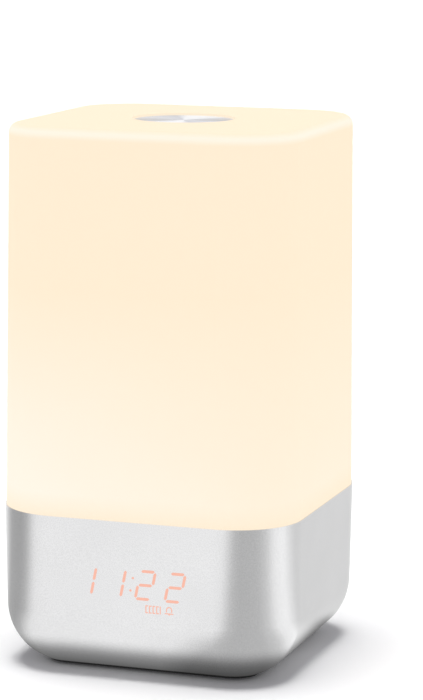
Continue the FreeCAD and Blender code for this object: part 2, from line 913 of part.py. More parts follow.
def make_main_board():
    half_y = main_board_depth / 2
    board = rounded_plate(main_board_width, main_board_depth, main_board_corner,
                          board_bottom_z, board_top_z)
    tab = block(jack_x - jack_tab_width / 2, jack_x + jack_tab_width / 2,
                half_y - 2 * main_board_corner, half_y + jack_tab_reach, board_bottom_z, board_top_z)
    board = board.fuse(tab).removeSplitter()
    holes = [disc(small_screw_radius + screw_hole_play, board_bottom_z - over, board_top_z + over, x, y)
             for x, y in board_boss_places()]
    half_notch = wire_notch_width / 2
    holes.append(block(wire_hole_x - half_notch, wire_hole_x + half_notch,
                       half_y - wire_notch_depth, half_y + over, board_bottom_z - over, board_top_z + over))
    return cut_all(board, holes)


def make_main_board_parts():
    """Chips, capacitors, coils, plug housings and sockets soldered on the main board."""
    boxes = [(x * main_board_width, y * main_board_depth, wide, deep, high)
             for x, y, wide, deep, high in board_blocks]
    led_plug_x = (led_lead_places[0][0] + led_lead_places[1][0]) / 2
    boxes.append((led_plug_x, led_lead_places[0][1], plug_length, plug_depth, plug_height))
    boxes.append((wire_hole_x - speaker_plug_reach_x, wire_hole_y - speaker_plug_reach_y,
                  plug_length, plug_depth, plug_height))
    boxes.append((display_ribbon_x, display_socket_y, display_ribbon_width + 2 * ribbon_side_margin,
                  socket_depth, socket_height))
    boxes.append((key_ribbon_x, key_socket_y, key_ribbon_width + 2 * ribbon_side_margin,
                  socket_depth, socket_height))
    parts = []
    for x, y, width, depth, height in boxes:
        parts.append(block(x - width / 2, x + width / 2, y - depth / 2, y + depth / 2,
                           board_top_z, board_top_z + height))
    for x_share, y_share, radius, height in board_cans:
        can = disc(radius, board_top_z, board_top_z + height, x_share * main_board_width,
                   y_share * main_board_depth)
        rim = [edge for edge in can.Edges if edge.BoundBox.ZMin > board_top_z + height - 1e-6]
        parts.append(can.makeFillet(can_rim_radius, rim))
    return parts


def make_display_module():
    half = module_width / 2
    return block(-half, half, module_front_y(), display_board_front_y,
                 module_low_z, module_low_z + module_height)


def make_display_board():
    half = display_board_width / 2
    board = block(-half, half, display_board_front_y, display_board_back_y,
                  deck_top_z, deck_top_z + display_board_height)
    holes = [rod_y(small_screw_radius + screw_hole_play, x, display_screw_z(),
                   display_board_front_y - over, display_board_back_y + over)
             for x in upright_places_front()]
    return cut_all(board, holes)


def screw_along_y(x, z, y, towards, length):
    """Small screw with its head's seat at y, its shank pointing along towards times Y."""
    screw = machine_screw(small_screw_radius, length, small_screw_head_radius, small_screw_head_height)
    screw.rotate(V(0, 0, 0), V(1, 0, 0), 90 * towards)
    return place(screw, x, y, z)


def make_rear_panel(hollow):
    """Recessed panel with a rim behind the wall and a cup round the power inlet."""
    plug = panel_block(0.0).common(block(-base_width, base_width, panel_back_y, panel_face_y, 0, top_z))
    rim = panel_block(panel_flange).common(hollow)
    rim = rim.common(block(-base_width, base_width, panel_back_y, base_width, 0, top_z))
    cup_back_y = nose_front_y - inlet_floor
    cup = rod_y(inlet_radius + inlet_wall, jack_x, jack_z, cup_back_y, panel_back_y)
    panel = fuse_all([plug, rim, cup])
    holes = [rod_y(key_radius + key_side_gap, x, z, panel_back_y - over, base_width)
             for name, x, z in key_places()]
    holes.append(rod_y(inlet_radius, jack_x, jack_z, nose_front_y, base_width))
    holes.append(rod_y(jack_nose_radius + nose_gap, jack_x, jack_z, cup_back_y - over, base_width))
    return cut_all(panel, holes)


def make_key(x, z):
    cap = rod_y(key_radius, x, z, key_flange_y, key_front_y)
    rim = [edge for edge in cap.Edges if edge.BoundBox.YMin > key_front_y - 1e-6]
    cap = cap.makeFillet(key_rim_radius, rim)
    flange = rod_y(key_radius + key_flange_extra, x, z, key_flange_back_y, key_flange_y)
    stem = rod_y(key_stem_radius, x, z, stem_end_y, key_flange_back_y)
    return fuse_all([cap, flange, stem])


def make_switches():
    half = switch_size / 2
    bodies = []
    for name, x, z in key_places():
        body = block(x - half, x + half, switch_back_y, switch_front_y, z - half, z + half)
        pocket = rod_y(plunger_radius + plunger_side_gap, x, z, pocket_floor_y, switch_front_y + over)
        bodies.append(body.cut(pocket))
    return bodies


def make_key_board():
    last_x = key_first_x + (key_columns - 1) * key_pitch_x
    board = block(key_first_x - key_board_margin, last_x + key_board_margin,
                  key_board_back_y, switch_back_y,
                  panel_mid_z - key_pitch_z / 2 - key_board_margin,
                  panel_mid_z + key_pitch_z / 2 + key_board_margin)
    holes = [rod_y(small_screw_radius + screw_hole_play, x, z, key_board_back_y - over, switch_back_y + over)
             for x, z in key_screw_places()]
    return cut_all(board, holes)


def make_jack():
    half = jack_width / 2
    body = block(jack_x - half, jack_x + half, jack_front_y - jack_length, jack_front_y,
                 board_top_z, board_top_z + jack_height)
    nose = rod_y(jack_nose_radius, jack_x, jack_z, jack_front_y, nose_front_y)
    jack = body.fuse(nose).removeSplitter()
    floor_y = nose_front_y - jack_bore_depth
    return jack.cut(rod_y(jack_bore_radius, jack_x, jack_z, floor_y, nose_front_y + over))


def make_jack_pin():
    floor_y = nose_front_y - jack_bore_depth
    tip_y = floor_y + jack_pin_length
    pin = rod_y(jack_pin_radius, jack_x, jack_z, floor_y, tip_y)
    rim = [edge for edge in pin.Edges if edge.BoundBox.YMin > tip_y - 1e-6]
    return pin.makeFillet(jack_tip_radius, rim)


def make_bottom_cover():
    flange_width = base_opening + 2 * flange_overlap
    flange = rounded_plate(flange_width, flange_width, opening_corner_radius + flange_overlap,
                           foot_pad_height, shell_bottom_z)
    plug_width = base_opening - 2 * cover_gap
    plug = rounded_plate(plug_width, plug_width, opening_corner_radius - cover_gap,
                         shell_bottom_z, cover_top_z)
    cover = flange.fuse(plug).removeSplitter()
    holes = []
    for x, y in corner_places(lower_post_pitch):
        holes.append(disc(cover_screw_radius + screw_hole_play, 0, cover_top_z + over, x, y))
        holes.append(disc(cover_screw_head_radius + screw_head_play, 0,
                          foot_pad_height + cover_screw_sink, x, y))
    ledge_z = foot_pad_height + door_face + door_lug_play
    holes.append(disc(door_radius + door_side_gap, 0, ledge_z, cell_x, cell_y))
    holes.append(disc(door_neck_radius + door_side_gap, 0, cover_top_z + over, cell_x, cell_y))
    holes += door_notches(ledge_z)
    for index in range(sound_slot_count):
        offset = (index - (sound_slot_count - 1) / 2) * sound_slot_pitch
        half = math.sqrt(max(sound_field_radius ** 2 - offset ** 2, sound_slot_width ** 2))
        slot = rounded_plate(2 * half, sound_slot_width, sound_slot_width * slot_end_share,
                             0, cover_top_z + over)
        holes.append(place(slot, speaker_x, speaker_y + offset, 0))
    return cut_all(cover, holes)


def pie(radius, z_low, z_high, start_deg, sweep_deg):
    return Part.makeCylinder(radius, z_high - z_low, V(0, 0, z_low), V(0, 0, 1), sweep_deg).rotated(
        V(0, 0, 0), V(0, 0, 1), start_deg)


def door_notches(ledge_z):
    """Two gaps in the door's ledge, where the lugs pass once the door is turned back."""
    notches = []
    for side in (0, 180):
        start = side - door_turn_deg - door_lug_deg / 2 - notch_play_deg
        sweep = door_lug_deg + 2 * notch_play_deg
        notch = pie(door_radius + door_side_gap, ledge_z - door_lug_play, cover_top_z + over, start, sweep)
        notches.append(place(notch, cell_x, cell_y, 0))
    return notches


def make_battery_door():
    face = disc(door_radius, foot_pad_height, foot_pad_height + door_face)
    lug_low = cover_top_z + door_lug_play
    lug_high = lug_low + door_lug_height
    neck = disc(door_neck_radius, foot_pad_height + door_face, lug_high)
    door = face.fuse(neck)
    for side in (0, 180):
        door = door.fuse(pie(door_radius, lug_low, lug_high, side - door_lug_deg / 2, door_lug_deg))
    slot = rounded_plate(door_slot_length, door_slot_width, door_slot_width * slot_end_share,
                         0, foot_pad_height + door_slot_depth)
    return place(door.cut(slot).removeSplitter(), cell_x, cell_y, 0)


def make_cell_holder():
    sweep_r = door_radius + holder_side_gap
    outer_r = sweep_r + holder_wall
    cell_r = cell_radius + holder_side_gap
    points = [(sweep_r, cover_top_z), (outer_r, cover_top_z), (outer_r, holder_roof_z + holder_wall)]
    points += [(0, holder_roof_z + holder_wall), (0, holder_roof_z), (cell_r, holder_roof_z)]
    points += [(cell_r, cell_low_z), (sweep_r, cell_low_z)]
    return spun(points, cell_x, cell_y)


def make_cell_contact():
    """Dished spring washer between the cell and the holder's roof."""
    thick = contact_leaf_thickness
    hole = contact_hole_edge
    flat = hole + contact_land
    wide = contact_dish_radius
    points = [(hole, cell_high_z), (flat, cell_high_z), (wide, holder_roof_z - thick)]
    points += [(wide + contact_land, holder_roof_z - thick), (wide + contact_land, holder_roof_z)]
    points += [(wide - thick, holder_roof_z), (flat - thick, cell_high_z + thick)]
    points += [(hole, cell_high_z + thick)]
    return spun(points, cell_x, cell_y)


def make_speaker_frame():
    rim_z = gasket_top_z + speaker_rim
    inner = speaker_radius - speaker_land
    seat_z = magnet_low_z - speaker_frame_wall
    points = [(inner, gasket_top_z), (speaker_radius, gasket_top_z), (speaker_radius, rim_z)]
    points += [(magnet_radius + speaker_land, magnet_low_z), (speaker_hub_radius, magnet_low_z)]
    points += [(speaker_hub_radius, seat_z), (magnet_radius + speaker_land / 2, seat_z)]
    points += [(inner, rim_z)]
    return spun(points, speaker_x, speaker_y)


def make_speaker_cone():
    thick = cone_thickness
    rim = speaker_radius - cone_rim_inset
    low = gasket_top_z + cone_rise
    deep = magnet_low_z - cone_top_gap
    cap_z = low + cone_cap_height
    neck = cone_cap_radius + cone_neck_step
    fold = rim - cone_surround
    points = [(0, cap_z + thick), (cone_cap_radius, cap_z), (neck, deep), (neck + thick, deep)]
    points += [(fold, low + thick), (rim, low + thick), (rim, low), (fold - thick, low)]
    points += [(neck + thick / 2, deep - 2 * thick), (cone_cap_radius, cap_z - thick), (0, cap_z)]
    return spun(points, speaker_x, speaker_y)


def ribbon(points, thickness, x_low, x_high):
    """Flat cable along a line of (y, z) points, its width along X."""
    half = thickness / 2
    left = []
    right = []
    for index, (y, z) in enumerate(points):
        before = points[max(index - 1, 0)]
        after = points[min(index + 1, len(points) - 1)]
        run_y = after[0] - before[0]
        run_z = after[1] - before[1]
        reach = math.hypot(run_y, run_z)
        left.append(V(x_low, y - half * run_z / reach, z + half * run_y / reach))
        right.append(V(x_low, y + half * run_z / reach, z - half * run_y / reach))
    outline = Part.makePolygon(left + right[::-1] + [left[0]])
    return Part.Face(outline).extrude(V(x_high - x_low, 0, 0))


def make_ribbon(board_back_y, inward, socket_y, middle_x, width):
    """Plug block on the back of a standing board, with a flat cable over to the main board's socket."""
    low_z = board_top_z + ribbon_plug_rise
    high_z = low_z + ribbon_plug_height
    half = width / 2
    near_y = min(board_back_y, board_back_y + inward * ribbon_plug_depth)
    plug = block(middle_x - half - ribbon_side_margin, middle_x + half + ribbon_side_margin,
                 near_y, near_y + ribbon_plug_depth, low_z, high_z)
    start_y = board_back_y + inward * ribbon_plug_depth / 2
    points = [(start_y, high_z), (start_y, high_z + ribbon_thickness)]
    points += [(start_y + inward * ribbon_thickness, high_z + ribbon_hump / 2)]
    points += [(start_y + inward * ribbon_run / 2, high_z + ribbon_hump)]
    points += [(socket_y - inward * ribbon_run * ribbon_fall_share, high_z + ribbon_hump)]
    points += [(socket_y - inward * ribbon_thickness, high_z + ribbon_hump / 2)]
    points += [(socket_y, board_top_z + socket_height + ribbon_thickness)]
    points += [(socket_y, board_top_z + socket_height)]
    cable = ribbon(points, ribbon_thickness, middle_x - half, middle_x + half)
    return plug.fuse(cable).removeSplitter()


def make_speaker_leads():
    """Two thin wires from the speaker's tags through the deck to a plug housing on the main board."""
    wires = []
    tag_y = speaker_y + magnet_radius + speaker_lead_radius
    hole_y = max(wire_hole_y, tag_y + wire_hole_radius)
    plug_face_x = wire_hole_x - speaker_plug_reach_x + plug_length / 2
    plug_y = wire_hole_y - speaker_plug_reach_y
    for side in (-1, 1):
        lead_x = wire_hole_x + side * speaker_lead_pitch / 2
        end_y = plug_y + side * speaker_lead_pitch / 2
        end_z = board_top_z + plug_height / 2
        route = [
            (speaker_x + side * speaker_lead_pitch / 2, tag_y, magnet_low_z + 2 * speaker_lead_radius),
            (lead_x, (tag_y + hole_y) / 2, magnet_low_z + 4 * speaker_lead_radius),
            (lead_x, hole_y, deck_z - 2 * speaker_lead_radius),
            (lead_x, hole_y, end_z + plug_height / 2),
            (plug_face_x + plug_depth / 2, end_y, end_z + plug_height / 6),
            (plug_face_x + plug_depth / 4, end_y, end_z),
            (plug_face_x, end_y, end_z),
        ]
        wires.append(tube(route, speaker_lead_radius))
    return wires


def make_led_leads():
    """Two wires from their plug housing up through the tray to the LED board."""
    wires = []
    for x, y in led_lead_places:
        low = board_top_z + plug_height
        wires.append(disc(led_lead_radius, low, led_board_top_z + led_lead_proud, x, y))
    return wires


def export(name, shapes):
    solids = []
    for shape in shapes if isinstance(shapes, list) else [shapes]:
        solids += shape.Solids
    whole = solids[0] if len(solids) == 1 else Part.makeCompound(solids)
    whole.exportStep(f"parts/{name}.step")
    print(name, len(solids), "solids", round(sum(s.Volume for s in solids), 2), "mm3",
          "valid" if whole.isValid() else "NOT VALID")


def main():
    os.makedirs("parts", exist_ok=True)
    outer = shell_body(0.0)
    hollow = shell_body(shell_wall)
    lit, dark = display_lights()
    export("base_shell", make_base_shell(outer, hollow, lit + dark))
    export("display_lit_bars", [bar.common(outer) for bar in lit])
    export("display_dark_bars", [bar.common(outer) for bar in dark])
    export("display_module", make_display_module())
    export("display_board", make_display_board())
    display_length = board_thickness + small_screw_bite
    export("display_ribbon", make_ribbon(display_board_back_y, 1, display_socket_y, display_ribbon_x,
                                         display_ribbon_width))
    export("display_board_screws",
           [screw_along_y(x, display_screw_z(), display_board_front_y, 1, display_length)
            for x in upright_places_front()])
    export("shade", make_shade())
    export("touch_disc", make_touch_disc())
    export("disc_tape", ring(disc_radius, disc_radius - disc_tape_width, recess_floor_z, disc_bottom_z))
    export("touch_spring", make_touch_spring())
    export("touch_post", make_touch_post())
    export("touch_lead", make_touch_lead())
    export("light_tray", make_light_tray())
    shade_screw = machine_screw(small_screw_radius, upper_post_floor + tray_thickness + shade_screw_bite,
                                small_screw_head_radius, small_screw_head_height)
    shade_screw.rotate(V(0, 0, 0), V(1, 0, 0), 180)
    export("shade_screws", [place(shade_screw, x, y, tray_bottom_z - upper_post_floor)
                            for x, y in corner_places(upper_post_pitch)])
    export("heat_plate", make_round_board(heat_plate_radius, tray_top_z, heat_top_z))
    export("led_board", make_round_board(led_board_radius, heat_top_z, led_board_top_z))
    export("white_leds", ring_of_leds(white_led_count, white_led_ring))
    export("colour_leds", ring_of_leds(colour_led_count, colour_led_ring, colour_led_turn_deg))
    led_screw_length = heat_plate_thickness + board_thickness + tray_thickness
    export("led_screws", screws_down(led_screw_places(), led_board_top_z, small_screw_radius,
                                     led_screw_length, small_screw_head_radius,
                                     small_screw_head_height))
    export("led_leads", make_led_leads())
    export("inner_frame", make_inner_frame())
    export("main_board", make_main_board())
    export("main_board_parts", make_main_board_parts())
    export("main_board_screws", screws_down(board_boss_places(), board_top_z, small_screw_radius,
                                            board_thickness + small_screw_bite, small_screw_head_radius,
                                            small_screw_head_height))
    export("rear_panel", make_rear_panel(hollow))
    for name, x, z in key_places():
        export(f"key_{name}", make_key(x, z))
        export(f"plunger_{name}", rod_y(plunger_radius, x, z, plunger_end_y, stem_end_y))
    export("key_switches", make_switches())
    export("key_board", make_key_board())
    export("key_ribbon", make_ribbon(key_board_back_y, -1, key_socket_y, key_ribbon_x, key_ribbon_width))
    export("key_board_screws", [screw_along_y(x, z, switch_back_y, -1, board_thickness + small_screw_bite)
                                for x, z in key_screw_places()])
    export("power_jack", make_jack())
    export("power_jack_pin", make_jack_pin())
    export("bottom_cover", make_bottom_cover())
    cover_screw = machine_screw(cover_screw_radius, cover_plug_height + cover_flange - cover_screw_sink
                                + cover_screw_bite, cover_screw_head_radius, cover_screw_head_height)
    cover_screw.rotate(V(0, 0, 0), V(1, 0, 0), 180)
    export("bottom_screws", [place(cover_screw, x, y, foot_pad_height + cover_screw_sink)
                             for x, y in corner_places(lower_post_pitch)])
    pads = []
    for sx in (-1, 1):
        for sy in (-1, 1):
            pad = rounded_plate(foot_pad_width, foot_pad_length, foot_pad_width * foot_pad_end_share,
                                0, foot_pad_height)
            pads.append(place(pad, sx * (base_opening / 2 - foot_pad_inset), sy * foot_pad_y))
    export("rubber_feet", pads)
    export("battery_door", make_battery_door())
    export("backup_cell", disc(cell_radius, cell_low_z, cell_high_z, cell_x, cell_y))
    export("cell_holder", make_cell_holder())
    export("cell_contact", make_cell_contact())
    export("speaker_gasket", ring(speaker_radius, speaker_radius - speaker_land, cover_top_z, gasket_top_z,
                                  speaker_x, speaker_y))
    export("speaker_frame", make_speaker_frame())
    export("speaker_cone", make_speaker_cone())
    export("speaker_magnet", disc(magnet_radius, magnet_low_z, speaker_top_z, speaker_x, speaker_y))
    export("speaker_leads", make_speaker_leads())


main()
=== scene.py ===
import json
import math

import bpy
from mathutils import Matrix, Vector


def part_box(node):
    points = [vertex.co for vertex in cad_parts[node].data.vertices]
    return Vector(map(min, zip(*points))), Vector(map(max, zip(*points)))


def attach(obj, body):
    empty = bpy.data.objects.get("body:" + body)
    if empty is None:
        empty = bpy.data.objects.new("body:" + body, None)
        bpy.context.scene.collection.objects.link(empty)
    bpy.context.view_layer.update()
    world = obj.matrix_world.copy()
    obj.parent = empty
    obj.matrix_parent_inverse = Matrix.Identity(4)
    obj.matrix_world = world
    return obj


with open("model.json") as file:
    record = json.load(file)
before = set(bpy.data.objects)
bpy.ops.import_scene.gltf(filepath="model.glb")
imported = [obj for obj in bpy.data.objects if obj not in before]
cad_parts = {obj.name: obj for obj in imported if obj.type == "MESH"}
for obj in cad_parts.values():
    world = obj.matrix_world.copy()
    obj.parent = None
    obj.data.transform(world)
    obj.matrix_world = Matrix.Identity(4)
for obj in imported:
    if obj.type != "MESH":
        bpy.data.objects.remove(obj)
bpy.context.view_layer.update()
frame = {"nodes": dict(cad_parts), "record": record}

nodes = frame["nodes"]
print("frame loaded:", len(nodes), "nodes")

# places on the clock that the looks and the symbols follow
baseLow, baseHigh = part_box("base_shell")
frontY = baseLow.y
seamZ = baseHigh.z
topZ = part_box("shade")[1].z
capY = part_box("key_time")[1].y


# small helpers for building node trees

def newTree(name):
    material = bpy.data.materials.new(name)
    material.use_nodes = True
    tree = material.node_tree
    tree.nodes.clear()
    output = tree.nodes.new("ShaderNodeOutputMaterial")
    shader = tree.nodes.new("ShaderNodeBsdfPrincipled")
    tree.links.new(shader.outputs["BSDF"], output.inputs["Surface"])
    coords = tree.nodes.new("ShaderNodeTexCoord")
    return material, tree, shader, coords.outputs["Object"]


def feed(tree, value, socket):
    # another node's output is linked, a plain value is set
    if hasattr(value, "is_linked"):
        tree.links.new(value, socket)
    else:
        socket.default_value = value


def feedColour(tree, colour, socket):
    feed(tree, colour if hasattr(colour, "is_linked") else (*colour, 1.0), socket)


def stretched(tree, where, scale):
    mapping = tree.nodes.new("ShaderNodeMapping")
    mapping.inputs["Scale"].default_value = scale
    tree.links.new(where, mapping.inputs["Vector"])
    return mapping.outputs["Vector"]


def splitOf(tree, where):
    parts = tree.nodes.new("ShaderNodeSeparateXYZ")
    tree.links.new(where, parts.inputs["Vector"])
    return parts.outputs["X"], parts.outputs["Y"], parts.outputs["Z"]


def noiseOf(tree, where, scale, detail=3.0, rough=0.55):
    noise = tree.nodes.new("ShaderNodeTexNoise")
    noise.inputs["Scale"].default_value = scale
    noise.inputs["Detail"].default_value = detail
    noise.inputs["Roughness"].default_value = rough
    tree.links.new(where, noise.inputs["Vector"])
    return noise.outputs["Fac"]


def rangeOf(tree, value, low, high, fromLow=0.0, fromHigh=1.0):
    span = tree.nodes.new("ShaderNodeMapRange")
    span.inputs["From Min"].default_value = fromLow
    span.inputs["From Max"].default_value = fromHigh
    span.inputs["To Min"].default_value = low
    span.inputs["To Max"].default_value = high
    tree.links.new(value, span.inputs["Value"])
    return span.outputs["Result"]


def mathOf(tree, job, first, second=0.0):
    step = tree.nodes.new("ShaderNodeMath")
    step.operation = job
    feed(tree, first, step.inputs[0])
    feed(tree, second, step.inputs[1])
    return step.outputs[0]


def vectorOf(tree, job, first, second=(0.0, 0.0, 0.0), result="Vector"):
    step = tree.nodes.new("ShaderNodeVectorMath")
    step.operation = job
    feed(tree, first, step.inputs[0])
    feed(tree, second, step.inputs[1])
    return step.outputs[result]


def blendOf(tree, amount, first, second, blendType="MIX"):
    mix = tree.nodes.new("ShaderNodeMix")
    mix.data_type = "RGBA"
    mix.blend_type = blendType
    feed(tree, amount, mix.inputs["Factor"])
    feedColour(tree, first, mix.inputs[6])  # sockets 6, 7 and output 2 are the colour ones
    feedColour(tree, second, mix.inputs[7])
    return mix.outputs[2]


def rampOf(tree, amount, stops):
    ramp = tree.nodes.new("ShaderNodeValToRGB")
    tree.links.new(amount, ramp.inputs["Fac"])
    elements = ramp.color_ramp.elements
    while len(elements) < len(stops):
        elements.new(0.5)
    for element, (place, level) in zip(elements, stops):
        element.position = place
        element.color = (level, level, level, 1.0)
    return ramp.outputs["Color"]


def switchOf(tree, amount, plain, special):
    switch = tree.nodes.new("ShaderNodeMixShader")
    tree.links.new(amount, switch.inputs["Fac"])
    tree.links.new(plain, switch.inputs[1])
    tree.links.new(special, switch.inputs[2])
    return switch.outputs["Shader"]


def bumpOf(tree, shader, height, strength, distance):
    bump = tree.nodes.new("ShaderNodeBump")
    bump.inputs["Strength"].default_value = strength
    bump.inputs["Distance"].default_value = distance
    tree.links.new(height, bump.inputs["Height"])
    tree.links.new(bump.outputs["Normal"], shader.inputs["Normal"])


def darker(colour, share):
    return tuple(channel * share for channel in colour)


wearSetup = {
    "samples": 4,
    "lean": (0.75, 0.995),  # from fully worn to untouched
}


def edgeWear(tree, radius):
    # how far a rounded-off normal leans from the true one, which is only near edges
    bevel = tree.nodes.new("ShaderNodeBevel")
    bevel.samples = wearSetup["samples"]
    bevel.inputs["Radius"].default_value = radius
    geometry = tree.nodes.new("ShaderNodeNewGeometry")
    lean = vectorOf(tree, "DOT_PRODUCT", bevel.outputs["Normal"], geometry.outputs["Normal"], "Value")
    return rangeOf(tree, lean, 1.0, 0.0, *wearSetup["lean"])


# camera: standing in front and a little to the right, looking slightly down

cameraSetup = {
    "place": (0.31892, -0.92276, 0.26553),
    "headingDeg": 18.510,
    "pitchDeg": -9.618,
    "rollDeg": 0.381,
    "lens": 154.62,
    "sensorWidth": 36.0,
    "nearest": 0.01,
    "farthest": 100.0,
}


def makeCamera():
    heading = math.radians(cameraSetup["headingDeg"])
    pitch = math.radians(cameraSetup["pitchDeg"])
    roll = math.radians(cameraSetup["rollDeg"])
    forward = Vector((-math.sin(heading), math.cos(heading), 0.0))
    right = Vector((math.cos(heading), math.sin(heading), 0.0))
    up = Vector((0.0, 0.0, 1.0))
    look = forward * math.cos(pitch) + up * math.sin(pitch)
    levelTop = up * math.cos(pitch) - forward * math.sin(pitch)
    side = right * math.cos(roll) + levelTop * math.sin(roll)
    top = levelTop * math.cos(roll) - right * math.sin(roll)
    bpy.ops.object.camera_add()
    camera = bpy.context.object
    camera.name = "photoCamera"
    turn = Matrix((side, top, -look)).transposed().to_4x4()
    camera.matrix_world = Matrix.Translation(cameraSetup["place"]) @ turn
    camera.data.sensor_width = cameraSetup["sensorWidth"]
    camera.data.sensor_fit = "AUTO"
    camera.data.lens = cameraSetup["lens"]
    camera.data.dof.use_dof = False
    camera.data.clip_start = cameraSetup["nearest"]
    camera.data.clip_end = cameraSetup["farthest"]
    bpy.context.scene.camera = camera


# floor, room and lamp

studio = {
    "floorSize": 40.0,
    "floorColour": (0.90, 0.90, 0.905),
    "floorRoughness": 0.9,
    "floorLift": 0.03,  # seen by the camera alone
    "underHalf": 0.0275,  # half width of the base's flat underside
    "underReach": 0.05,  # how far out from it the mirrored floor is dimmed
    "roomEven": (0.28, 0.275, 0.30),
    "lampPlace": (-0.06, 0.0, 1.5),
    "lampLevel": 3.1,
    "lampSpreadDeg": 30.0,
    "lampColour": (1.0, 1.0, 0.985),
}

# how bright polished things see the room by the height they look at, as rise and fall
roomHeights = {
    "low": 0.78,
    "high": 1.45,
    "overhead": 0.98,
    "rise": (0.17, 0.36),
    "fall": (0.42, 0.80),
}

# and by heading in degrees: 0 is the front, 90 the right side
roomLevels = [
    (-180, 0.84), (-145, 0.95), (-130, 0.70), (-112, 0.40), (-82, 0.38), (-68, 0.48), (-52, 0.92),
    (-40, 0.98), (-15, 0.98), (5, 0.90), (20, 0.54), (34, 0.50), (62, 0.52), (76, 0.70), (90, 1.05),
    (108, 1.05), (125, 0.86), (140, 0.78), (180, 0.84),
]
floorLevels = [
    (-180, 0.84), (-122, 0.95), (-110, 0.74), (-96, 0.50), (-71, 0.46), (-60, 0.56), (-46, 1.00),
    (-36, 1.04), (-6, 1.08), (8, 1.03), (21, 0.63), (30, 0.57), (52, 0.60), (64, 0.74), (76, 1.06),
    (92, 1.16), (104, 0.96), (118, 0.80), (180, 0.84),
]

# the clock's own shade in the mirrored floor, from its underside outwards
underLevels = [
    (0.05, 0.06), (0.20, 0.16), (0.30, 0.27), (0.36, 0.40), (0.42, 0.62), (0.48, 0.84), (0.57, 1.0),
]


def sectorRamp(tree, where, levels):
    # grey level by heading, as flags and softboxes round a table give it
    x, y, _ = splitOf(tree, where)
    heading = mathOf(tree, "ARCTAN2", x, mathOf(tree, "MULTIPLY", y, -1.0))
    stops = [((degrees + 180) / 360, level) for degrees, level in levels]
    return rampOf(tree, rangeOf(tree, heading, 0.0, 1.0, -math.pi, math.pi), stops)


def underShade(tree, where):
    # distance past the square underside, turned into grey
    half = studio["underHalf"]
    beyond = vectorOf(tree, "SUBTRACT", vectorOf(tree, "ABSOLUTE", where), (half, half, 0.0))
    outside = vectorOf(tree, "MAXIMUM", beyond, (0.0, 0.0, 0.0))
    away = vectorOf(tree, "LENGTH", outside, result="Value")
    return rampOf(tree, rangeOf(tree, away, 0.0, 1.0, 0.0, studio["underReach"]), underLevels)


def makeFloor():
    bpy.ops.mesh.primitive_grid_add(x_subdivisions=4, y_subdivisions=4, size=studio["floorSize"])
    floor = bpy.context.object
    floor.name = "studioFloor"
    material, tree, shader, where = newTree("paleFloor")
    shader.inputs["Base Color"].default_value = (*studio["floorColour"], 1.0)
    shader.inputs["Roughness"].default_value = studio["floorRoughness"]
    shader.inputs["Specular IOR Level"].default_value = 0.0
    path = tree.nodes.new("ShaderNodeLightPath")
    lift = mathOf(tree, "MULTIPLY", path.outputs["Is Camera Ray"], studio["floorLift"])
    shader.inputs["Emission Color"].default_value = (1.0, 1.0, 1.0, 1.0)
    tree.links.new(lift, shader.inputs["Emission Strength"])
    # what polished things see of it: the room's sectors, dark under the clock
    mirrored = tree.nodes.new("ShaderNodeEmission")
    tree.links.new(sectorRamp(tree, where, floorLevels), mirrored.inputs["Color"])
    tree.links.new(underShade(tree, where), mirrored.inputs["Strength"])
    surface = switchOf(tree, path.outputs["Is Glossy Ray"], shader.outputs["BSDF"],
                       mirrored.outputs["Emission"])
    output = next(node for node in tree.nodes if node.type == "OUTPUT_MATERIAL")
    tree.links.new(surface, output.inputs["Surface"])
    floor.data.materials.append(material)


def makeRoom():
    world = bpy.data.worlds.new("studioRoom")
    bpy.context.scene.world = world
    world.use_nodes = True
    tree = world.node_tree
    tree.nodes.clear()
    output = tree.nodes.new("ShaderNodeOutputWorld")
    path = tree.nodes.new("ShaderNodeLightPath")
    coords = tree.nodes.new("ShaderNodeTexCoord")
    even = tree.nodes.new("ShaderNodeBackground")
    even.inputs["Color"].default_value = (*studio["roomEven"], 1.0)
    # polished things see grey sectors, brightest a little above eye level
    sectors = tree.nodes.new("ShaderNodeBackground")
    directions = coords.outputs["Generated"]
    tree.links.new(sectorRamp(tree, directions, roomLevels), sectors.inputs["Color"])
    _, _, height = splitOf(tree, directions)
    low, high, overhead = roomHeights["low"], roomHeights["high"], roomHeights["overhead"]
    rising = rangeOf(tree, height, low, high, *roomHeights["rise"])
    falling = rangeOf(tree, height, high, overhead, *roomHeights["fall"])
    tree.links.new(mathOf(tree, "MINIMUM", rising, falling), sectors.inputs["Strength"])
    # and the camera sees plain white
    white = tree.nodes.new("ShaderNodeBackground")
    white.inputs["Color"].default_value = (1.0, 1.0, 1.0, 1.0)
    lighting = switchOf(tree, path.outputs["Is Glossy Ray"], even.outputs["Background"],
                        sectors.outputs["Background"])
    surface = switchOf(tree, path.outputs["Is Camera Ray"], lighting, white.outputs["Background"])
    tree.links.new(surface, output.inputs["Surface"])


def makeLamp():
    # wide light from almost straight overhead, left out of what polished things see
    bpy.ops.object.light_add(type="SUN", location=studio["lampPlace"])
    lamp = bpy.context.object
    lamp.name = "overheadLight"
    lamp.data.energy = studio["lampLevel"]
    lamp.data.angle = math.radians(studio["lampSpreadDeg"])
    lamp.data.color = studio["lampColour"]
    lamp.visible_glossy = False
    lamp.rotation_euler = (-lamp.location).to_track_quat("-Z", "Y").to_euler()


makeCamera()
makeFloor()
makeRoom()
makeLamp()
print("camera and studio ready")


# opal shade, lit from inside

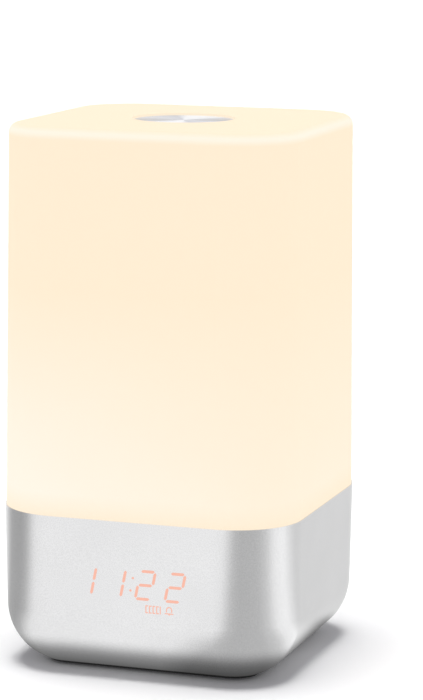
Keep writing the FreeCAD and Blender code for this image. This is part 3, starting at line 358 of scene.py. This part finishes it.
shadeLook = {
    "body": (0.08, 0.075, 0.066),
    "glow": (1.0, 0.845, 0.642),
    "glowPale": (1.0, 0.95, 0.84),
    "glowLevel": 0.955,
    "roughness": 0.28,
    "depthShare": 0.25,
    "depthColour": (1.0, 0.8, 0.6),
    "depthReach": 0.002,
    "tintScale": 60.0,
    "tintShare": 0.97,
    "fineScale": 900.0,
    "fineStrength": 0.04,
    "fineDepth": 0.0001,
    "cloudScale": 22.0,
    "cloudShare": (0.75, 1.1),
    "paleAboveSeam": (0.0035, 0.0725),  # from full down to none
    # painted light: the shade's glow is paler on the left side than on the right
    "paintedLightAcross": (-0.05, 0.045),  # from the left side to the right
    "paintedLightRight": 0.42,
    "seamBand": 0.0075,
    "seamShare": 0.2,
    # painted highlight along the rounded top edge, carried in the glow colour
    "highlightBelowTop": (0.0038, 0.0021, 0.0014, 0.0001),  # pale line: starts, full, still full, ends
    "highlightShare": 0.65,
}


def paintShade():
    material, tree, shader, where = newTree("opalShade")
    x, _, z = splitOf(tree, where)
    # paler just above the lamp board, and on the left more than on the right; the left-right part is
    # painted light
    near, far = (seamZ + height for height in shadeLook["paleAboveSeam"])
    low = rangeOf(tree, z, 1.0, 0.0, near, far)
    paintedSideLight = rangeOf(tree, x, 1.0, shadeLook["paintedLightRight"], *shadeLook["paintedLightAcross"])
    cloud = rangeOf(tree, noiseOf(tree, where, shadeLook["cloudScale"], 2.0), *shadeLook["cloudShare"])
    seam = rangeOf(tree, z, shadeLook["seamShare"], 1.0, seamZ, seamZ + shadeLook["seamBand"])
    pale = mathOf(tree, "MULTIPLY", mathOf(tree, "MULTIPLY", low, paintedSideLight), cloud)
    pale = mathOf(tree, "MULTIPLY", pale, seam)
    # and a painted highlight: a pale line round the rounded top edge
    starts, full, stillFull, ends = (topZ - drop for drop in shadeLook["highlightBelowTop"])
    highlightUp = rangeOf(tree, z, 0.0, shadeLook["highlightShare"], starts, full)
    highlightDown = rangeOf(tree, z, 1.0, 0.0, stillFull, ends)
    pale = mathOf(tree, "MAXIMUM", pale, mathOf(tree, "MULTIPLY", highlightUp, highlightDown))
    glow = blendOf(tree, pale, shadeLook["glow"], shadeLook["glowPale"])
    tree.links.new(glow, shader.inputs["Emission Color"])
    shader.inputs["Emission Strength"].default_value = shadeLook["glowLevel"]
    shader.inputs["Specular IOR Level"].default_value = 0.0
    tint = rangeOf(tree, noiseOf(tree, where, shadeLook["tintScale"], 3.0), 0.0, 1.0)
    body = blendOf(tree, tint, shadeLook["body"], darker(shadeLook["body"], shadeLook["tintShare"]))
    tree.links.new(body, shader.inputs["Base Color"])
    fine = noiseOf(tree, where, shadeLook["fineScale"], 2.0)
    roughness = rangeOf(tree, fine, shadeLook["roughness"] - 0.03, shadeLook["roughness"] + 0.05)
    tree.links.new(roughness, shader.inputs["Roughness"])
    shader.inputs["Subsurface Weight"].default_value = shadeLook["depthShare"]
    shader.inputs["Subsurface Radius"].default_value = shadeLook["depthColour"]
    shader.inputs["Subsurface Scale"].default_value = shadeLook["depthReach"]
    bumpOf(tree, shader, fine, shadeLook["fineStrength"], shadeLook["fineDepth"])
    return material


# satin aluminium, with a fine blasted grain

metalLook = {
    "colour": (0.81, 0.81, 0.815),
    "roughness": 0.19,
    "patchScale": 45.0,
    "patchShare": 0.965,
    "grainScale": 2600.0,
    "grainDepth": 0.00003,
    "grainShare": 0.35,
    "grainStrength": 0.35,
    "speckShare": 0.93,
    "wearRadius": 0.0006,
    "wearShare": 0.35,
    "wearColour": (0.92, 0.92, 0.92),
    "wearBehindFront": (0.001, 0.003),  # none on the front face, where the display is
    "wearBelowSeam": (0.0025, 0.001),  # but some along its upper edge
}


def wearPlaces(tree, where):
    # worn along its own edges, not round the display's light bars
    _, y, z = splitOf(tree, where)
    behind = rangeOf(tree, y, 0.0, 1.0, *(frontY + step for step in metalLook["wearBehindFront"]))
    upper = rangeOf(tree, z, 0.0, 1.0, *(seamZ - step for step in metalLook["wearBelowSeam"]))
    away = mathOf(tree, "MAXIMUM", behind, upper)
    wear = mathOf(tree, "MULTIPLY", edgeWear(tree, metalLook["wearRadius"]), away)
    return mathOf(tree, "MULTIPLY", wear, metalLook["wearShare"])


def paintMetal():
    material, tree, shader, where = newTree("satinBase")
    shader.inputs["Metallic"].default_value = 1.0
    colour = metalLook["colour"]
    grain = noiseOf(tree, where, metalLook["grainScale"], 2.0, 0.6)
    patch = noiseOf(tree, where, metalLook["patchScale"], 3.0)
    tone = blendOf(tree, rangeOf(tree, patch, 0.0, 1.0, 0.3, 0.7),
                   darker(colour, metalLook["patchShare"]), colour)
    speck = blendOf(tree, rangeOf(tree, grain, 0.0, 1.0, 0.35, 0.65),
                    darker(colour, metalLook["speckShare"]), (1.0, 1.0, 1.0))
    grained = blendOf(tree, metalLook["grainShare"], tone, speck, "MULTIPLY")
    worn = blendOf(tree, wearPlaces(tree, where), grained, metalLook["wearColour"])
    tree.links.new(worn, shader.inputs["Base Color"])
    rough = rangeOf(tree, grain, metalLook["roughness"] - 0.05, metalLook["roughness"] + 0.06)
    rough = mathOf(tree, "ADD", rough, rangeOf(tree, patch, -0.02, 0.02))
    tree.links.new(rough, shader.inputs["Roughness"])
    bumpOf(tree, shader, grain, metalLook["grainStrength"], metalLook["grainDepth"])
    return material


# spun touch disc: turned rings and a real spun sheen, plus two bright wedges from front to back painted
# into its colour as a highlight

discLook = {
    # painted highlight colour of the wedges, and the disc's colour beside them
    "highlightWedge": (0.96, 0.96, 0.975),
    "between": (0.70, 0.70, 0.735),
    "wedgeTurnDeg": 6.4,
    "wedgeEdge": (0.36, 0.60),
    "roughness": 0.30,
    "spin": 0.95,
    "ringPitch": 0.00022,
    "ringStrength": 0.5,
    "ringDepth": 0.000012,
    "unevenScale": 260.0,
}


def paintedDiscHighlight(tree, flat, uneven):
    # painted highlight: bright wedges by heading round the disc's middle, set into the base colour
    x, y, _ = splitOf(tree, flat)
    heading = mathOf(tree, "ARCTAN2", x, y)
    turned = mathOf(tree, "SUBTRACT", heading, math.radians(discLook["wedgeTurnDeg"]))
    across = mathOf(tree, "ABSOLUTE", mathOf(tree, "SINE", turned))
    frayed = mathOf(tree, "ADD", across, rangeOf(tree, uneven, -0.05, 0.05))
    share = rangeOf(tree, frayed, 0.0, 1.0, *discLook["wedgeEdge"])
    return blendOf(tree, share, discLook["highlightWedge"], discLook["between"])


def paintDisc():
    material, tree, shader, where = newTree("spunDisc")
    shader.inputs["Metallic"].default_value = 1.0
    shader.inputs["Anisotropic"].default_value = discLook["spin"]
    shader.inputs["Anisotropic Rotation"].default_value = 0.25  # a quarter turn, across the rings
    flat = stretched(tree, where, (1, 1, 0))
    fromMiddle = vectorOf(tree, "LENGTH", flat, result="Value")
    rings = mathOf(tree, "SINE", mathOf(tree, "MULTIPLY", fromMiddle, 2 * math.pi / discLook["ringPitch"]))
    uneven = noiseOf(tree, flat, discLook["unevenScale"], 3.0)
    tangent = tree.nodes.new("ShaderNodeTangent")
    tangent.direction_type = "RADIAL"
    tangent.axis = "Z"
    tree.links.new(tangent.outputs["Tangent"], shader.inputs["Tangent"])
    tree.links.new(paintedDiscHighlight(tree, flat, uneven), shader.inputs["Base Color"])
    roughness = rangeOf(tree, uneven, discLook["roughness"] - 0.04, discLook["roughness"] + 0.05)
    tree.links.new(roughness, shader.inputs["Roughness"])
    bumpOf(tree, shader, rings, discLook["ringStrength"], discLook["ringDepth"])
    return material


# light bars of the time display

displayLook = {
    "bar": (0.04, 0.03, 0.03),
    "roughness": 0.5,
    "gloss": 0.1,
    "colour": (0.955, 0.50, 0.385),
    "level": 1.0,
    "unevenScale": 700.0,
    "unevenShare": 0.94,
    "unevenStrength": 0.05,
    "unevenDepth": 0.0001,
}


def paintLit():
    material, tree, shader, where = newTree("litBars")
    shader.inputs["Base Color"].default_value = (*displayLook["bar"], 1.0)
    shader.inputs["Roughness"].default_value = displayLook["roughness"]
    shader.inputs["Specular IOR Level"].default_value = displayLook["gloss"]
    uneven = noiseOf(tree, where, displayLook["unevenScale"], 2.0)
    dimmer = darker(displayLook["colour"], displayLook["unevenShare"])
    tree.links.new(blendOf(tree, uneven, dimmer, displayLook["colour"]), shader.inputs["Emission Color"])
    shader.inputs["Emission Strength"].default_value = displayLook["level"]
    bumpOf(tree, shader, uneven, displayLook["unevenStrength"], displayLook["unevenDepth"])
    return material


# every other finish, in the order of these headings

finishHeadings = ("colour", "roughness", "metallic", "grainScale", "grainDepth", "wearShare", "wearColour")

finishes = {
    "blackCover": ((0.018, 0.018, 0.019), 0.52, 0.0, 1500.0, 0.00004, 0.25, (0.06, 0.06, 0.06)),
    "greenBoard": ((0.012, 0.085, 0.038), 0.38, 0.0, 240.0, 0.00002, 0.5, (0.30, 0.24, 0.10)),
    "whiteBoard": ((0.80, 0.80, 0.78), 0.40, 0.0, 240.0, 0.00002, 0.3, (0.55, 0.50, 0.40)),
    "flatCable": ((0.52, 0.52, 0.49), 0.45, 0.0, 420.0, 0.00003, 0.2, (0.7, 0.7, 0.7)),
    "screwSteel": ((0.62, 0.62, 0.60), 0.28, 1.0, 1800.0, 0.00001, 0.6, (0.85, 0.85, 0.83)),
    "blackTape": ((0.02, 0.02, 0.02), 0.85, 0.0, 900.0, 0.00006, 0.1, (0.05, 0.05, 0.05)),
    "springSteel": ((0.58, 0.58, 0.60), 0.24, 1.0, 2600.0, 0.00001, 0.4, (0.8, 0.8, 0.8)),
    "whitePlastic": ((0.76, 0.76, 0.74), 0.42, 0.0, 1100.0, 0.00003, 0.2, (0.85, 0.85, 0.84)),
    "redLead": ((0.25, 0.012, 0.010), 0.40, 0.0, 800.0, 0.00002, 0.2, (0.4, 0.05, 0.04)),
    "millAluminium": ((0.66, 0.67, 0.68), 0.36, 1.0, 1600.0, 0.00002, 0.6, (0.85, 0.85, 0.86)),
    "phosphor": ((0.86, 0.62, 0.10), 0.30, 0.0, 900.0, 0.00002, 0.3, (0.9, 0.85, 0.7)),
    "clearLed": ((0.62, 0.68, 0.72), 0.18, 0.0, 900.0, 0.00001, 0.3, (0.9, 0.92, 0.95)),
    "greyPlastic": ((0.10, 0.105, 0.11), 0.50, 0.0, 1300.0, 0.00004, 0.25, (0.22, 0.22, 0.23)),
    "blackChip": ((0.014, 0.014, 0.016), 0.46, 0.0, 2000.0, 0.00003, 0.3, (0.08, 0.08, 0.08)),
    "keyPlastic": ((0.030, 0.030, 0.032), 0.42, 0.0, 1700.0, 0.00003, 0.4, (0.10, 0.10, 0.10)),
    "brassPin": ((0.78, 0.56, 0.24), 0.25, 1.0, 2000.0, 0.00001, 0.5, (0.9, 0.75, 0.45)),
    "footRubber": ((0.020, 0.020, 0.020), 0.80, 0.0, 1000.0, 0.00006, 0.2, (0.05, 0.05, 0.05)),
    "cellSteel": ((0.70, 0.70, 0.68), 0.18, 1.0, 1400.0, 0.00001, 0.5, (0.9, 0.9, 0.88)),
    "gasketFoam": ((0.025, 0.025, 0.025), 0.92, 0.0, 700.0, 0.00010, 0.1, (0.05, 0.05, 0.05)),
    "speakerPaint": ((0.028, 0.028, 0.028), 0.36, 0.0, 1200.0, 0.00002, 0.5, (0.3, 0.3, 0.3)),
    "coneFibre": ((0.024, 0.023, 0.022), 0.88, 0.0, 1000.0, 0.00008, 0.1, (0.06, 0.06, 0.06)),
    "ferrite": ((0.040, 0.040, 0.043), 0.48, 0.0, 1500.0, 0.00003, 0.5, (0.14, 0.14, 0.14)),
    "symbolPrint": ((0.66, 0.66, 0.64), 0.50, 0.0, 2200.0, 0.00001, 0.3, (0.50, 0.50, 0.49)),
}

# what all of them share
finishCommon = {
    "patchScale": 80.0,
    "patchShare": 0.86,
    "roughnessSpread": 0.06,
    "smoothest": 0.05,
    "wearRadius": 0.00025,
    "wearLeast": 0.3,
    "grainStrength": 0.4,
}


def paintFinish(name):
    look = dict(zip(finishHeadings, finishes[name]))
    material, tree, shader, where = newTree(name)
    shader.inputs["Metallic"].default_value = look["metallic"]
    grain = noiseOf(tree, where, look["grainScale"], 3.0)
    patch = noiseOf(tree, where, finishCommon["patchScale"], 3.0)
    tone = blendOf(tree, rangeOf(tree, patch, 0.0, 1.0, 0.3, 0.7),
                   darker(look["colour"], finishCommon["patchShare"]), look["colour"])
    patchy = rangeOf(tree, patch, finishCommon["wearLeast"] * look["wearShare"], look["wearShare"])
    wear = mathOf(tree, "MULTIPLY", edgeWear(tree, finishCommon["wearRadius"]), patchy)
    tree.links.new(blendOf(tree, wear, tone, look["wearColour"]), shader.inputs["Base Color"])
    spread = finishCommon["roughnessSpread"]
    smooth = max(look["roughness"] - spread, finishCommon["smoothest"])
    tree.links.new(rangeOf(tree, grain, smooth, look["roughness"] + spread), shader.inputs["Roughness"])
    bumpOf(tree, shader, grain, finishCommon["grainStrength"], look["grainDepth"])
    return material


slotFinish = {
    "black_plastic": "blackCover", "circuit_board": "greenBoard", "ribbon_cable": "flatCable",
    "plated_steel": "screwSteel", "adhesive_tape": "blackTape", "spring_steel": "springSteel",
    "white_plastic": "whitePlastic", "lead_insulation": "redLead", "raw_aluminium": "millAluminium",
    "white_board": "whiteBoard", "led_phosphor": "phosphor", "led_clear": "clearLed",
    "grey_plastic": "greyPlastic", "component_black": "blackChip", "key_plastic": "keyPlastic",
    "brass_contact": "brassPin", "foot_rubber": "footRubber", "cell_steel": "cellSteel",
    "foam_rubber": "gasketFoam", "speaker_steel": "speakerPaint", "paper_cone": "coneFibre",
    "ferrite": "ferrite",
}


def paintNodes():
    paints = {slot: paintFinish(finish) for slot, finish in slotFinish.items()}
    paints["opal_shade"] = paintShade()
    paints["brushed_base"] = paintMetal()
    paints["dark_display"] = paints["brushed_base"]  # unlit bars look like the metal round them
    paints["spun_disc"] = paintDisc()
    paints["lit_display"] = paintLit()
    for part in frame["record"]["subparts"]:
        materials = nodes[part["node"]].data.materials
        materials.clear()
        materials.append(paints[part["material_slot"]])


paintNodes()
print("finishes on every node")


# raised symbols on the keys at the back, seen from behind: +X is on the left

symbolLook = {
    "lift": 0.00001,  # their middle stands this far out of the cap
    "depth": 0.00022,
    "line": 0.00034,
    "edge": 0.00005,
    "smoothDeg": 40.0,
}
symbolY = capY + symbolLook["lift"]
symbolLine = symbolLook["line"]


def addStroke(x, z, wide, tall, turnDeg=0.0):
    bpy.ops.object.select_all(action="DESELECT")
    bpy.ops.mesh.primitive_cube_add(size=1.0, location=(x, symbolY, z),
                                    rotation=(0.0, math.radians(turnDeg), 0.0),
                                    scale=(wide, symbolLook["depth"], tall))
    stroke = bpy.context.object
    bpy.ops.object.transform_apply(location=True, rotation=True, scale=True)
    bpy.ops.object.mode_set(mode="EDIT")
    bpy.ops.mesh.select_mode(type="EDGE")
    bpy.ops.mesh.select_all(action="SELECT")
    bpy.ops.mesh.bevel(offset=symbolLook["edge"], segments=3, affect="EDGES")
    bpy.ops.object.mode_set(mode="OBJECT")
    return stroke


def addDot(x, z, wide, tall):
    bpy.ops.object.select_all(action="DESELECT")
    bpy.ops.mesh.primitive_uv_sphere_add(segments=32, ring_count=16, radius=0.5,
                                         location=(x, symbolY, z), scale=(wide, symbolLook["depth"], tall))
    dot = bpy.context.object
    bpy.ops.object.transform_apply(location=True, rotation=True, scale=True)
    return dot


def addHoop(x, z, radius):
    bpy.ops.object.select_all(action="DESELECT")
    bpy.ops.mesh.primitive_torus_add(major_segments=48, minor_segments=12, major_radius=radius,
                                     minor_radius=symbolLine / 2, location=(x, symbolY, z),
                                     rotation=(math.pi / 2, 0.0, 0.0))
    hoop = bpy.context.object
    hoop.scale = (1.0, 1.0, symbolLook["depth"] / symbolLine)
    bpy.ops.object.transform_apply(location=True, rotation=True, scale=True)
    return hoop


def keyMiddle(key):
    low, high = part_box(key)
    return (low.x + high.x) / 2, (low.z + high.z) / 2


clockSymbol = {
    "radius": 0.0017,
    "longHand": 0.0012,
    "longHandUp": 0.0005,
    "shortHand": 0.0009,
    "shortHandAside": 0.00038,
}


def drawClock(x, z):
    return [
        addHoop(x, z, clockSymbol["radius"]),
        addStroke(x, z + clockSymbol["longHandUp"], symbolLine, clockSymbol["longHand"]),
        addStroke(x - clockSymbol["shortHandAside"], z, clockSymbol["shortHand"], symbolLine),
    ]


# every entry but the first two is a share of them
bellSymbol = {
    "wide": 0.0034,
    "tall": 0.0038,
    "mouth": 0.92,
    "shoulder": 0.60,
    "bodyTall": 0.60,
    "bodyDown": 0.08,
    "crownTall": 0.44,
    "crownUp": 0.22,
    "rimDown": 0.38,
    "clapper": 0.24,
    "clapperDown": 0.50,
}


def drawBell(x, z):
    # widening body under a round top
    wide, tall = bellSymbol["wide"], bellSymbol["tall"]
    mouth, shoulder = wide * bellSymbol["mouth"], wide * bellSymbol["shoulder"]
    clapper = wide * bellSymbol["clapper"]
    bpy.ops.object.select_all(action="DESELECT")
    bpy.ops.mesh.primitive_cone_add(vertices=40, radius1=mouth / 2, radius2=shoulder / 2,
                                    depth=tall * bellSymbol["bodyTall"],
                                    location=(x, symbolY, z - tall * bellSymbol["bodyDown"]))
    body = bpy.context.object
    body.scale = (1.0, symbolLook["depth"] / mouth, 1.0)
    bpy.ops.object.transform_apply(location=True, rotation=True, scale=True)
    return [
        body,
        addDot(x, z + tall * bellSymbol["crownUp"], shoulder, tall * bellSymbol["crownTall"]),
        addStroke(x, z - tall * bellSymbol["rimDown"], wide, symbolLine),
        addDot(x, z - tall * bellSymbol["clapperDown"], clapper, clapper),
    ]


sunSymbol = {
    "radius": 0.00085,
    "rays": 8,
    "rayAway": 0.00165,
    "rayLength": 0.0008,
}


def drawSun(x, z):
    bits = [addHoop(x, z, sunSymbol["radius"])]
    for index in range(sunSymbol["rays"]):
        turnDeg = 360 / sunSymbol["rays"] * index
        across = sunSymbol["rayAway"] * math.sin(math.radians(turnDeg))
        up = sunSymbol["rayAway"] * math.cos(math.radians(turnDeg))
        bits.append(addStroke(x + across, z + up, symbolLine, sunSymbol["rayLength"], turnDeg))
    return bits


noteSymbol = {
    "headWide": 0.0013,
    "headTall": 0.0010,
    "headDown": 0.0012,
    "stem": 0.0030,
    "stemUp": 0.0002,
    "flag": 0.0013,
    "flagUp": 0.0013,
    "flagTurnDeg": 35.0,
    "aside": 0.0005,
}


def drawNote(x, z):
    aside = noteSymbol["aside"]
    return [
        addDot(x + aside, z - noteSymbol["headDown"], noteSymbol["headWide"], noteSymbol["headTall"]),
        addStroke(x, z + noteSymbol["stemUp"], symbolLine, noteSymbol["stem"]),
        addStroke(x - aside, z + noteSymbol["flagUp"], noteSymbol["flag"], symbolLine,
                  noteSymbol["flagTurnDeg"]),
    ]


signSymbol = {
    "length": 0.0030,
    "line": 0.000408,
}


def drawMinus(x, z):
    return [addStroke(x, z, signSymbol["length"], signSymbol["line"])]


def drawPlus(x, z):
    return drawMinus(x, z) + [addStroke(x, z, signSymbol["line"], signSymbol["length"])]


keySymbols = {
    "key_time": drawClock,
    "key_alarm": drawBell,
    "key_light": drawSun,
    "key_sound": drawNote,
    "key_minus": drawMinus,
    "key_plus": drawPlus,
}


def joinSymbol(key, bits, material):
    bpy.ops.object.select_all(action="DESELECT")
    for bit in bits:
        bit.select_set(True)
    bpy.context.view_layer.objects.active = bits[0]
    if len(bits) > 1:
        bpy.ops.object.join()
    symbol = bpy.context.object
    symbol.name = key + "_symbol"
    bpy.ops.object.shade_smooth_by_angle(angle=math.radians(symbolLook["smoothDeg"]))
    symbol.data.materials.clear()
    symbol.data.materials.append(material)
    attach(symbol, key + "_body")


symbolMaterial = paintFinish("symbolPrint")
for key, draw in keySymbols.items():
    joinSymbol(key, draw(*keyMiddle(key)), symbolMaterial)
print("symbols raised on the keys")


bpy.context.scene.view_settings.view_transform = "Standard"
